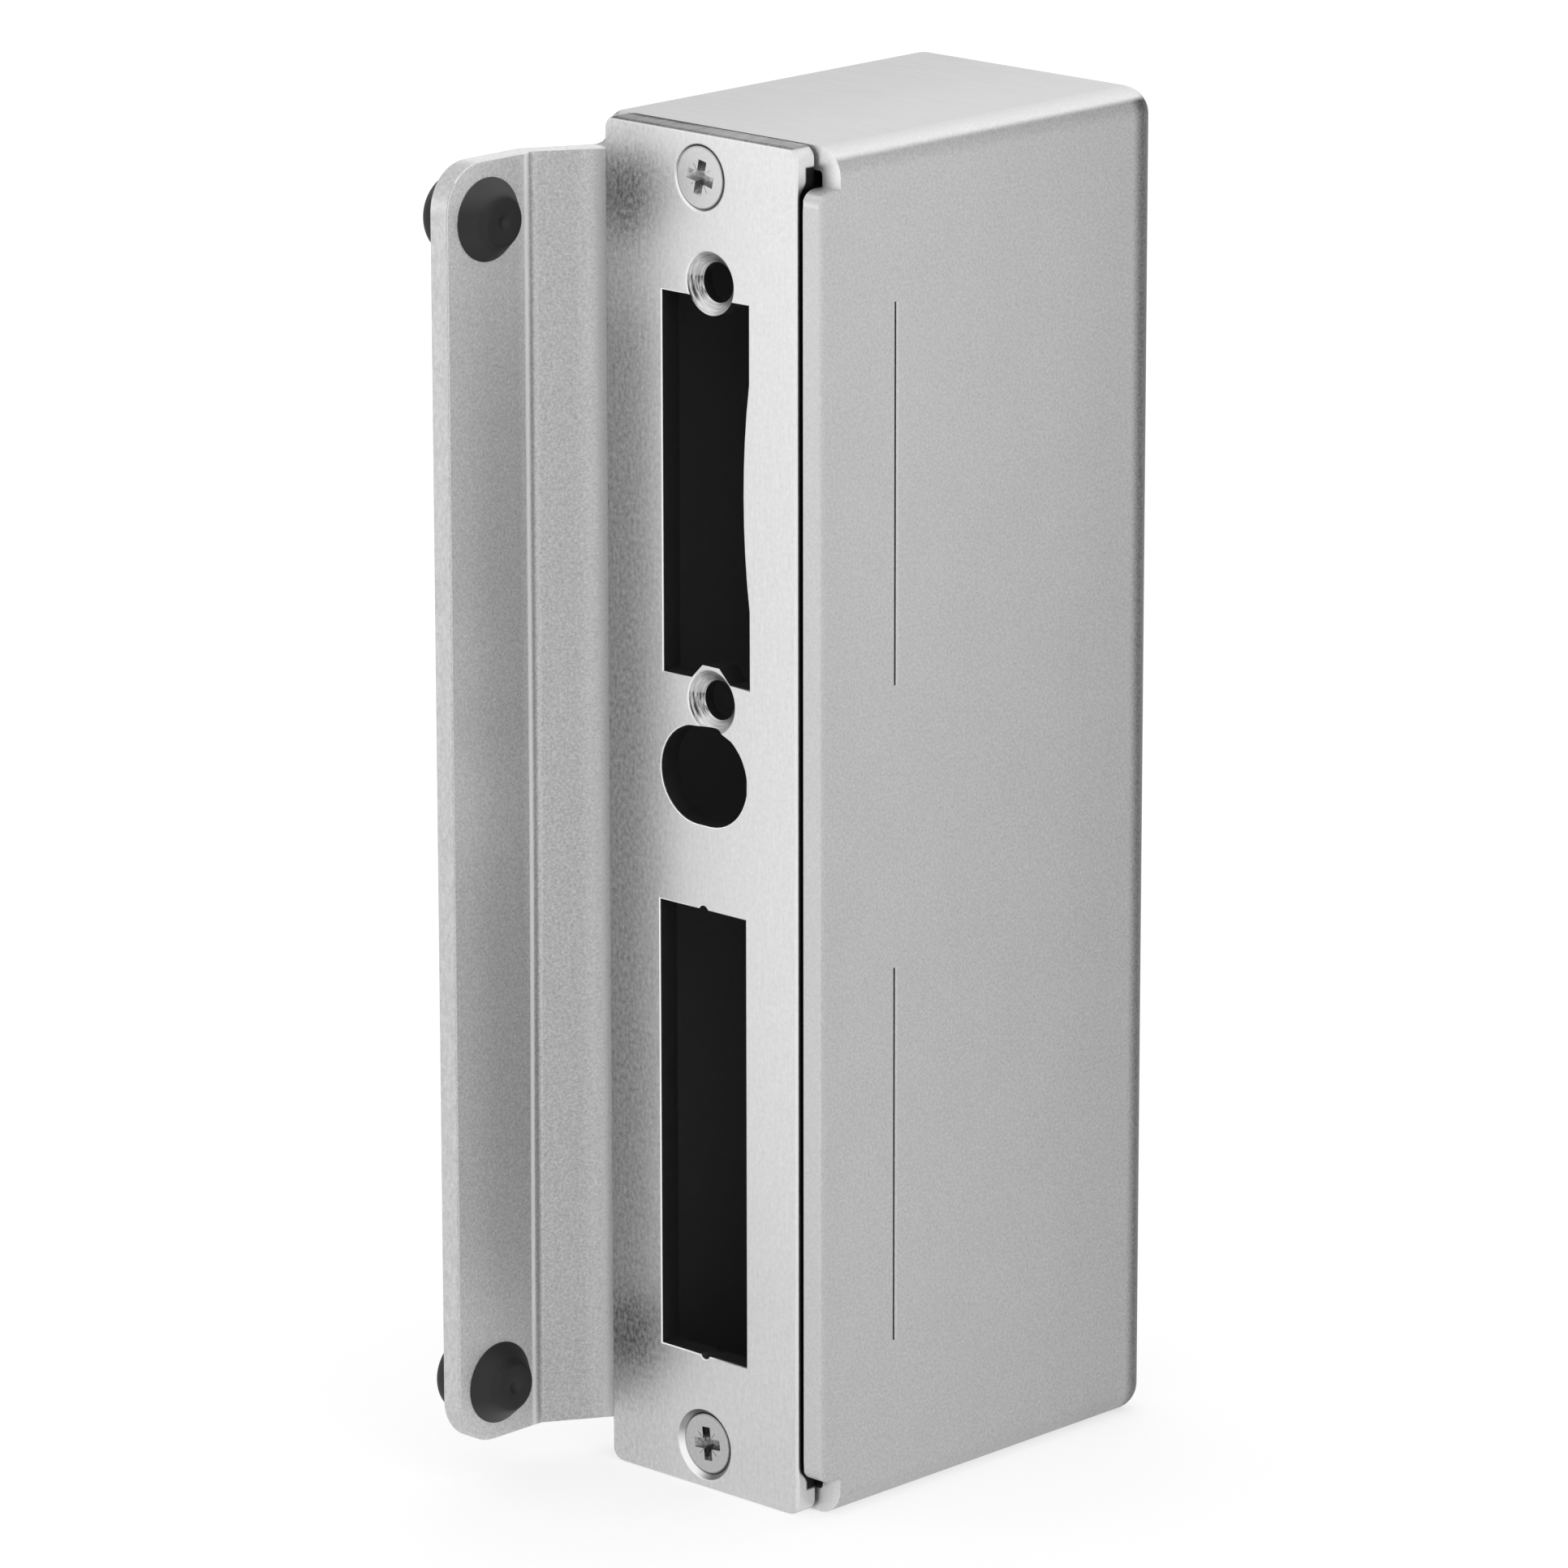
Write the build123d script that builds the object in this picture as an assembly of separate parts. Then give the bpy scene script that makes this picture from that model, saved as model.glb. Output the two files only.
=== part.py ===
from build123d import *
from math import radians, tan
import os

# Strike box for a narrow door post, in millimetres.
# X runs across the plate, Y from the plate's front to the back, Z up.
# The origin is the centre of the housing's bottom face.

# Housing, folded from one sheet
SHEET = 3.0
BEND_INSIDE_RADIUS = 0.5
HOUSING_WIDTH = 40.0
HOUSING_HEIGHT = 172.0
HOUSING_DEPTH = 61.0  # from the plate's front face to the housing's back face

# Strike plate
PLATE_THICKNESS = 3.0
PLATE_SIDE_CLEARANCE = 0.9  # to each side wall
PLATE_CORNER_RADIUS = 1.6
PLATE_EDGE_RADIUS = 0.35
PLATE_BACK_GAP = 0.5  # between the plate's back and the housing's front edge

# Lip of the right wall, beside the plate
LIP_RELIEF_HEIGHT = 4.9
LIP_CORNER_RADIUS = 2.0
LIP_EDGE_RADIUS = 0.4

# Stop flange, the joggled front part of the left wall
FLANGE_RELIEF_HEIGHT = 4.6
FLANGE_RELIEF_DEPTH = 4.5
FLANGE_ROOT_RADIUS = 1.8
FLANGE_STEP = 5.7  # sideways, between the wall and the buffer panel
FLANGE_ANGLE = 32.4  # of the slanted panel, from the wall's own direction
FLANGE_FIRST_BEND_Y = 3.0  # behind the plate's front face
FLANGE_REACH = 20.3  # in front of the plate's front face
FLANGE_CORNER_RADIUS = 5.8
FLANGE_BEND_INSIDE_RADIUS = 1.0
FLANGE_WALL_OVERLAP = 12.0  # length of straight wall that the flange's profile shares

# Slits through the right wall, each between two distances from its own end of the housing
SLIT_WIDTH = 0.3
SLIT_BEHIND_FRONT = 13.1
UPPER_SLIT_FROM_TOP = (19.9, 67.5)
LOWER_SLIT_FROM_BOTTOM = (20.8, 68.8)

# Rubber buffers, through the flange
BUFFER_FROM_END = 11.85
BUFFER_BEHIND_FLANGE_EDGE = 6.9
BUFFER_HEAD_RADIUS = 5.1
BUFFER_HEAD_HEIGHT = 4.0
BUFFER_HEAD_EDGE_RADIUS = 1.6
BUFFER_NECK_RADIUS = 3.2
BUFFER_HOLE_CLEARANCE = 0.05
BUFFER_NOSE_BASE_RADIUS = 5.2
BUFFER_NOSE_TIP_RADIUS = 2.95
BUFFER_NOSE_HEIGHT = 2.8
BUFFER_DIMPLE_RADIUS = 0.9
BUFFER_DIMPLE_DEPTH = 0.6

# Countersunk M4 screws that hold the plate
SCREW_FROM_END = 5.6
SCREW_THREAD_RADIUS = 2.0
SCREW_HEAD_RADIUS = 3.9
SCREW_HEAD_RIM = 0.15
SCREW_LENGTH = 12.0
SCREW_SEAT_CLEARANCE = 0.02
SCREW_HOLE_RADIUS = 2.25
TOP_SCREW_DEPTH = 0.05  # of its head below the plate's front face
BOTTOM_SCREW_DEPTH = 0.5

# Threaded blocks inside the top and bottom walls
BLOCK_WIDTH = 16.0
BLOCK_HEIGHT = 9.0
BLOCK_DEPTH = 10.0
BLOCK_THREAD_CLEARANCE = 0.02

# Countersunk holes for an electric strike; distances are from the plate's top
STRIKE_HOLE_X = 1.6
STRIKE_HOLES_FROM_TOP = [18.44, 70.44]
STRIKE_HOLE_RADIUS = 2.5
STRIKE_SINK_RADIUS = 4.075
UPPER_LUG_RADIUS = 3.87
LOWER_LUG_RADIUS = 3.4  # from the middle of its octagon to a flat
LOWER_LUG_REACH = 4.48  # from the hole's centre to the top flat

# Upper opening of the plate, with a right edge that bulges inward
UPPER_LEFT = -6.5
UPPER_RIGHT = 8.05
UPPER_FROM_TOP = 20.2
UPPER_TO_TOP = 67.8
BULGE_FROM_TOP = 29.8
BULGE_TO_TOP = 58.0
BULGE_DEPTH = 0.95

# Slot between the openings
SLOT_CENTRE_X = 0.3
SLOT_CENTRE_FROM_TOP = 80.0
SLOT_WIDTH = 14.5
SLOT_HEIGHT = 12.4

# Lower opening of the plate
LOWER_WIDTH = 14.6
LOWER_FROM_TOP = 97.0
LOWER_FROM_BOTTOM = 17.4
LOWER_NOTCH_RADIUS = 0.8
LOWER_NOTCH_DEPTH = 0.5
LOWER_NOTCH_X = 0.15

# Values that follow from the ones above
FRONT_Y = -HOUSING_DEPTH / 2
BACK_Y = HOUSING_DEPTH / 2
PLATE_BACK_Y = FRONT_Y + PLATE_THICKNESS
BOX_FRONT_Y = PLATE_BACK_Y + PLATE_BACK_GAP
WALL_OUTER_X = HOUSING_WIDTH / 2
WALL_INNER_X = WALL_OUTER_X - SHEET
BEND_OUTSIDE_RADIUS = BEND_INSIDE_RADIUS + SHEET
PLATE_WIDTH = 2 * (WALL_INNER_X - PLATE_SIDE_CLEARANCE)
FLANGE_INNER_X = -WALL_INNER_X - FLANGE_STEP
FLANGE_OUTER_X = FLANGE_INNER_X - SHEET
FLANGE_FRONT_Y = FRONT_Y - FLANGE_REACH
FLANGE_ROOT_Y = FRONT_Y + FLANGE_RELIEF_DEPTH
FLANGE_WALL_END_Y = BOX_FRONT_Y + FLANGE_WALL_OVERLAP
BUFFER_Y = FLANGE_FRONT_Y + BUFFER_BEHIND_FLANGE_EDGE
MARGIN = 5.0  # how far a cutting tool runs past a face


def height(from_top):
    """Height above the bottom face of a point given by its distance from the top."""
    return HOUSING_HEIGHT - from_top


def span(x_range, y_range, z_range):
    """Box between two limits on each axis."""
    low = [min(x_range), min(y_range), min(z_range)]
    size = [abs(r[1] - r[0]) for r in (x_range, y_range, z_range)]
    corner = (Align.MIN, Align.MIN, Align.MIN)
    return Pos(*low) * Box(*size, align=corner)


def rounded_box(x_range, y_range, z_range, radius):
    """Box with every edge rounded but those of its front face."""
    box = span(x_range, y_range, z_range)
    edges = box.edges().filter_by(Axis.Y)
    edges += box.faces().sort_by(Axis.Y)[-1].edges()
    return fillet(edges, radius)


def folded_box():
    """Five-walled box, open at the front."""
    outside = rounded_box(
        (-WALL_OUTER_X, WALL_OUTER_X),
        (BOX_FRONT_Y, BACK_Y),
        (0, HOUSING_HEIGHT),
        BEND_OUTSIDE_RADIUS,
    )
    inside = rounded_box(
        (-WALL_INNER_X, WALL_INNER_X),
        (BOX_FRONT_Y - MARGIN, BACK_Y - SHEET),
        (SHEET, HOUSING_HEIGHT - SHEET),
        BEND_INSIDE_RADIUS,
    )
    return outside - inside


def lip():
    """Front edge of the right wall, between its two relief notches."""
    low = LIP_RELIEF_HEIGHT
    high = HOUSING_HEIGHT - LIP_RELIEF_HEIGHT
    strip = span((WALL_INNER_X, WALL_OUTER_X), (FRONT_Y, BOX_FRONT_Y), (low, high))
    corners = strip.edges().filter_by(Axis.X).group_by(Axis.Y)[0]
    strip = fillet(corners, LIP_CORNER_RADIUS)
    front = strip.edges().group_by(Axis.Y)[0].filter_by(Axis.Z).sort_by(Axis.X)[-1]
    return fillet(front, LIP_EDGE_RADIUS)


def flange_plan():
    """Section of the joggled flange, seen from above."""
    first_y = FRONT_Y + FLANGE_FIRST_BEND_Y
    second_y = first_y - FLANGE_STEP / tan(radians(FLANGE_ANGLE))
    shift = SHEET * tan(radians(FLANGE_ANGLE / 2))
    inner = [
        (-WALL_INNER_X, FLANGE_WALL_END_Y),
        (-WALL_INNER_X, first_y),
        (FLANGE_INNER_X, second_y),
        (FLANGE_INNER_X, FLANGE_FRONT_Y),
    ]
    outer = [
        (FLANGE_OUTER_X, FLANGE_FRONT_Y),
        (FLANGE_OUTER_X, second_y + shift),
        (-WALL_OUTER_X, first_y + shift),
        (-WALL_OUTER_X, FLANGE_WALL_END_Y),
    ]
    face = make_face(Polyline(*inner, *outer, close=True))
    tight = FLANGE_BEND_INSIDE_RADIUS
    wide = tight + SHEET
    for point, radius in ((inner[1], wide), (inner[2], tight), (outer[1], wide), (outer[2], tight)):
        corner = face.vertices().sort_by_distance(Vector(*point))[0]
        face = fillet(corner, radius)
    return face


def flange_outline():
    """Outline of the flange seen from the side, as a solid to intersect with."""
    low = FLANGE_RELIEF_HEIGHT
    high = HOUSING_HEIGHT - FLANGE_RELIEF_HEIGHT
    x_range = (FLANGE_OUTER_X - MARGIN, 0)
    panel = span(x_range, (FLANGE_FRONT_Y, FLANGE_WALL_END_Y), (low, high))
    corners = panel.edges().filter_by(Axis.X).group_by(Axis.Y)[0]
    panel = fillet(corners, FLANGE_CORNER_RADIUS)
    outline = panel + span(x_range, (FLANGE_ROOT_Y, FLANGE_WALL_END_Y), (0, HOUSING_HEIGHT))
    across = outline.edges().filter_by(Axis.X)
    roots = [across.sort_by_distance(Vector(x_range[0] / 2, FLANGE_ROOT_Y, z))[0] for z in (low, high)]
    return fillet(roots, FLANGE_ROOT_RADIUS)


def bend_envelope():
    """Space inside the rounded bends of the left wall, open towards the flange."""
    y_range = (FLANGE_FRONT_Y - MARGIN, FLANGE_WALL_END_Y)
    rounded = span((-WALL_OUTER_X, WALL_OUTER_X), y_range, (0, HOUSING_HEIGHT))
    rounded = fillet(rounded.edges().filter_by(Axis.Y), BEND_OUTSIDE_RADIUS)
    flat = (BEND_OUTSIDE_RADIUS, HOUSING_HEIGHT - BEND_OUTSIDE_RADIUS)
    return rounded + span((FLANGE_OUTER_X - MARGIN, 0), y_range, flat)


def flange():
    """Stop flange that carries the buffers, without the box behind it."""
    strip = extrude(flange_plan(), HOUSING_HEIGHT)
    return strip & flange_outline() & bend_envelope()


def housing():
    """Whole folded piece."""
    body = folded_box()
    corner_notch = span(
        (-WALL_OUTER_X - MARGIN, -WALL_INNER_X),
        (BOX_FRONT_Y - MARGIN, FLANGE_ROOT_Y),
        (-MARGIN, HOUSING_HEIGHT + MARGIN),
    )
    body -= corner_notch
    body += flange()
    body += lip()
    slit_y = FRONT_Y + SLIT_BEHIND_FRONT
    upper_slit = [height(from_top) for from_top in UPPER_SLIT_FROM_TOP]
    for z_range in (upper_slit, LOWER_SLIT_FROM_BOTTOM):
        body -= span(
            (WALL_INNER_X - MARGIN, WALL_OUTER_X + MARGIN),
            (slit_y - SLIT_WIDTH / 2, slit_y + SLIT_WIDTH / 2),
            z_range,
        )
    hole = Cylinder(BUFFER_NECK_RADIUS + BUFFER_HOLE_CLEARANCE, SHEET + 2 * MARGIN, rotation=(0, 90, 0))
    for z in (BUFFER_FROM_END, HOUSING_HEIGHT - BUFFER_FROM_END):
        body -= Pos((FLANGE_INNER_X + FLANGE_OUTER_X) / 2, BUFFER_Y, z) * hole
    return body


def upper_lug():
    """Round tongue that stays below the upper strike hole."""
    return Pos(STRIKE_HOLE_X, height(STRIKE_HOLES_FROM_TOP[0])) * Circle(UPPER_LUG_RADIUS)


def lower_lug():
    """Octagonal tongue that stays above the lower strike hole."""
    octagon = RegularPolygon(LOWER_LUG_RADIUS, 8, major_radius=False, rotation=22.5)
    middle = height(STRIKE_HOLES_FROM_TOP[1]) + LOWER_LUG_REACH - LOWER_LUG_RADIUS
    return Pos(STRIKE_HOLE_X, middle) * octagon


def upper_opening():
    """Latch opening, with the lugs of both strike holes left standing."""
    top = height(UPPER_FROM_TOP)
    bottom = height(UPPER_TO_TOP)
    bulge_top = (UPPER_RIGHT, height(BULGE_FROM_TOP))
    bulge_bottom = (UPPER_RIGHT, height(BULGE_TO_TOP))
    bulge_peak = (UPPER_RIGHT - BULGE_DEPTH, (bulge_top[1] + bulge_bottom[1]) / 2)
    edge = ThreePointArc(bulge_top, bulge_peak, bulge_bottom)
    rest = Polyline(
        bulge_bottom,
        (UPPER_RIGHT, bottom),
        (UPPER_LEFT, bottom),
        (UPPER_LEFT, top),
        (UPPER_RIGHT, top),
        bulge_top,
    )
    face = make_face([edge, rest])
    return face - upper_lug() - lower_lug()


def slot_opening():
    """Oblong slot below the latch opening."""
    return Pos(SLOT_CENTRE_X, height(SLOT_CENTRE_FROM_TOP)) * SlotOverall(SLOT_WIDTH, SLOT_HEIGHT)


def lower_opening():
    """Bolt opening, with a small round notch in its top and bottom edges."""
    top = height(LOWER_FROM_TOP)
    bottom = LOWER_FROM_BOTTOM
    face = Pos(0, (top + bottom) / 2) * Rectangle(LOWER_WIDTH, top - bottom)
    inset = LOWER_NOTCH_RADIUS - LOWER_NOTCH_DEPTH
    for z in (top - inset, bottom + inset):
        face += Pos(LOWER_NOTCH_X, z) * Circle(LOWER_NOTCH_RADIUS)
    return face


def countersunk_cut(x, z, sink_radius, hole_radius):
    """Cutting tool for a hole with a 90 degree countersink in the plate's front."""
    depth = sink_radius - hole_radius
    cone = Cone(sink_radius + MARGIN, hole_radius, depth + MARGIN, rotation=(-90, 0, 0))
    bore = Cylinder(hole_radius, PLATE_THICKNESS + 2 * MARGIN, rotation=(-90, 0, 0))
    cut = Pos(x, FRONT_Y + (depth - MARGIN) / 2, z) * cone
    return cut + Pos(x, FRONT_Y + PLATE_THICKNESS / 2, z) * bore


def sink_radius_for(head_depth):
    """Countersink radius at the plate's face that lets a head down to this depth."""
    return SCREW_HEAD_RADIUS + SCREW_HEAD_RIM + head_depth + SCREW_SEAT_CLEARANCE


def strike_plate():
    """Punched plate with its openings and countersunk holes."""
    outline = Pos(0, HOUSING_HEIGHT / 2) * RectangleRounded(PLATE_WIDTH, HOUSING_HEIGHT, PLATE_CORNER_RADIUS)
    plate = extrude(Plane.XZ.offset(-PLATE_BACK_Y) * outline, PLATE_THICKNESS)
    front_edges = plate.faces().sort_by(Axis.Y)[0].edges()
    plate = fillet(front_edges, PLATE_EDGE_RADIUS)
    for opening in (upper_opening(), slot_opening(), lower_opening()):
        cut = extrude(Plane.XZ.offset(-PLATE_BACK_Y - MARGIN) * opening, PLATE_THICKNESS + 2 * MARGIN)
        plate -= cut
    for from_top in STRIKE_HOLES_FROM_TOP:
        plate -= countersunk_cut(STRIKE_HOLE_X, height(from_top), STRIKE_SINK_RADIUS, STRIKE_HOLE_RADIUS)
    for z, depth in screw_places():
        plate -= countersunk_cut(0, z, sink_radius_for(depth), SCREW_HOLE_RADIUS)
    return plate


def screw_places():
    """Height and head depth of the bottom and top screws."""
    return [
        (SCREW_FROM_END, BOTTOM_SCREW_DEPTH),
        (HOUSING_HEIGHT - SCREW_FROM_END, TOP_SCREW_DEPTH),
    ]


def screw(z, head_depth):
    """Countersunk screw, its head facing the front."""
    cone_start = SCREW_HEAD_RIM
    cone_end = cone_start + SCREW_HEAD_RADIUS - SCREW_THREAD_RADIUS
    profile = Polyline(
        (0, 0),
        (SCREW_HEAD_RADIUS, 0),
        (SCREW_HEAD_RADIUS, cone_start),
        (SCREW_THREAD_RADIUS, cone_end),
        (SCREW_THREAD_RADIUS, SCREW_LENGTH),
        (0, SCREW_LENGTH),
        close=True,
    )
    body = revolve(make_face(profile), Axis.Y)
    return Pos(0, FRONT_Y + head_depth, z) * body


def screw_block(z_range, screw_z):
    """Threaded block behind the plate, welded to the wall above or below it."""
    block = span((-BLOCK_WIDTH / 2, BLOCK_WIDTH / 2), (PLATE_BACK_Y, PLATE_BACK_Y + BLOCK_DEPTH), z_range)
    thread = Cylinder(SCREW_THREAD_RADIUS + BLOCK_THREAD_CLEARANCE, 2 * HOUSING_DEPTH, rotation=(90, 0, 0))
    return block - Pos(0, 0, screw_z) * thread


def buffer(z):
    """Rubber buffer: a round head outside the flange and a blunt nose inside it."""
    nose_x = SHEET + BUFFER_NOSE_HEIGHT
    profile = Polyline(
        (-BUFFER_HEAD_HEIGHT, 0),
        (-BUFFER_HEAD_HEIGHT, BUFFER_HEAD_RADIUS),
        (0, BUFFER_HEAD_RADIUS),
        (0, BUFFER_NECK_RADIUS),
        (SHEET, BUFFER_NECK_RADIUS),
        (SHEET, BUFFER_NOSE_BASE_RADIUS),
        (nose_x, BUFFER_NOSE_TIP_RADIUS),
        (nose_x, BUFFER_DIMPLE_RADIUS),
        (nose_x - BUFFER_DIMPLE_DEPTH, 0),
        close=True,
    )
    face = make_face(profile)
    edge = face.vertices().sort_by_distance(Vector(-BUFFER_HEAD_HEIGHT, BUFFER_HEAD_RADIUS))[0]
    face = fillet(edge, BUFFER_HEAD_EDGE_RADIUS)
    return Pos(FLANGE_OUTER_X, BUFFER_Y, z) * revolve(face, Axis.X)


def parts():
    """Every piece by node name."""
    (low_z, low_depth), (high_z, high_depth) = screw_places()
    inner_top = HOUSING_HEIGHT - SHEET
    return {
        "housing": housing(),
        "strike_plate": strike_plate(),
        "plate_screw_top": screw(high_z, high_depth),
        "plate_screw_bottom": screw(low_z, low_depth),
        "buffer_top": buffer(HOUSING_HEIGHT - BUFFER_FROM_END),
        "buffer_bottom": buffer(BUFFER_FROM_END),
        "screw_block_top": screw_block((inner_top - BLOCK_HEIGHT, inner_top), high_z),
        "screw_block_bottom": screw_block((SHEET, SHEET + BLOCK_HEIGHT), low_z),
    }


os.makedirs("parts", exist_ok=True)
for name, solid in parts().items():
    export_step(solid, f"parts/{name}.step")
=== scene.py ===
import math

import bmesh
import bpy
from mathutils import Matrix, Vector


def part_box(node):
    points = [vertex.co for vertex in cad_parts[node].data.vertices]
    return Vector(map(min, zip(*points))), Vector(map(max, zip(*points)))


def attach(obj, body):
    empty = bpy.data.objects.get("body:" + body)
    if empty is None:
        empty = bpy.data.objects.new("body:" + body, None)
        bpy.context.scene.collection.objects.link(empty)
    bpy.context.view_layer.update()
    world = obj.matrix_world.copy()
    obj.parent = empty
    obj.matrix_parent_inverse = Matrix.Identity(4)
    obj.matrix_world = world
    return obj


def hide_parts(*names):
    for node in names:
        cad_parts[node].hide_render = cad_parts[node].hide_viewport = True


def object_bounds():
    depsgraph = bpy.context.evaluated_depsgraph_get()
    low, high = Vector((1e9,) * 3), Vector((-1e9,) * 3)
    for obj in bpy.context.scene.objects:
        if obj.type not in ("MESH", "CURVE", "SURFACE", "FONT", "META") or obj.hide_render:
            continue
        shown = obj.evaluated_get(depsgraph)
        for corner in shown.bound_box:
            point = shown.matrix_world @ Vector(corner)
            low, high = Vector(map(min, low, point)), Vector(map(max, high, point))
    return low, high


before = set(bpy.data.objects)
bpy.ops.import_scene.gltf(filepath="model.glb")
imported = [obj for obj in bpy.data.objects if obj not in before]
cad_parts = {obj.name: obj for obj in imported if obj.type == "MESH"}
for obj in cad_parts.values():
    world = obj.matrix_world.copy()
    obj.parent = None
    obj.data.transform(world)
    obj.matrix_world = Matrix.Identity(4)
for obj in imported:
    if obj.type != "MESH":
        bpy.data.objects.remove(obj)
CAD_LOW, CAD_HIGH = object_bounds()

bl_info = {
    "name": "Strike box finish",
    "version": (1, 0, 0),
    "blender": (4, 5, 0),
    "location": "View3D > Sidebar > Strike box",
    "description": "Finishes a folded strike box with its plate, screws and rubber buffers",
    "category": "Object",
}

MM = 0.001
SHARP = math.radians(40)

# Places on the CAD parts, in millimetres

PLATE_LOW, PLATE_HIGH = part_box("strike_plate")
HOUSING_LOW, HOUSING_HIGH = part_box("housing")
SHEET = (PLATE_HIGH.y - PLATE_LOW.y) / MM
PLATE_FRONT, PLATE_BACK = PLATE_LOW.y / MM, PLATE_HIGH.y / MM
PLATE_RIGHT = PLATE_HIGH.x / MM
WALL_OUTER = HOUSING_HIGH.x / MM
WALL_INNER = WALL_OUTER - SHEET
WALL_BACK = HOUSING_HIGH.y / MM
TOP_Z = HOUSING_HIGH.z / MM
MIDDLE_Z = TOP_Z / 2
BEND_RADIUS = 3.5
SLIT = PLATE_FRONT + 13.1
SLIT_ENDS = ((20.8, 68.8), (TOP_Z - 67.5, TOP_Z - 19.9))
STRIKE_X = 1.6
STRIKE_LOW, STRIKE_HIGH = TOP_Z - 70.44, TOP_Z - 18.44
SCREW_LOW, SCREW_HIGH = 5.6, TOP_Z - 5.6
SCREW_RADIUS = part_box("plate_screw_top")[1].x / MM
FLANGE_FRONT = HOUSING_LOW.y / MM
FLANGE_BEND = -36.48
BUFFER_LOW, BUFFER_HIGH = 11.85, TOP_Z - 11.85
BUFFER_MIDDLE = FLANGE_FRONT + 6.9
BUFFER_BASE, BUFFER_TIP = (corner.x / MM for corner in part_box("buffer_top"))

# How far the openings reach from the plate's middle and the countersinks from their axes, in millimetres

OPENING_REACH = 12
SINK_REACH = 4.3
SEAT_REACH = 4.8

# Sizes of the screws and buffers that the CAD parts fix, in millimetres

SHANK_RADIUS = 2.0
THREAD_DEPTH = 0.3
HEAD_EDGE = 0.15
BUFFER_LENGTH = BUFFER_TIP - BUFFER_BASE
BUFFER_HEAD = 4.0
BUFFER_NECK_RADIUS = 3.2


# Shader maths


class Value:
    """A shader socket that takes part in plain Python sums."""

    def __init__(self, paint, socket):
        self.paint = paint
        self.socket = socket

    def math(self, operation, first, second=None):
        """Adds a Math node for one or two numbers or sockets."""
        inputs = {0: first} if second is None else {0: first, 1: second}
        return self.paint.node("ShaderNodeMath", {"operation": operation}, inputs)

    def __add__(self, other):
        return self.math("ADD", self, other)

    def __radd__(self, other):
        return self.math("ADD", other, self)

    def __sub__(self, other):
        return self.math("SUBTRACT", self, other)

    def __rsub__(self, other):
        return self.math("SUBTRACT", other, self)

    def __mul__(self, other):
        return self.math("MULTIPLY", self, other)

    def __rmul__(self, other):
        return self.math("MULTIPLY", other, self)

    def __truediv__(self, other):
        return self.math("DIVIDE", self, other)

    def __pow__(self, other):
        return self.math("POWER", self, other)

    def __abs__(self):
        return self.math("ABSOLUTE", self)

    def larger(self, other):
        return self.math("MAXIMUM", self, other)

    def smaller(self, other):
        return self.math("MINIMUM", self, other)


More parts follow.
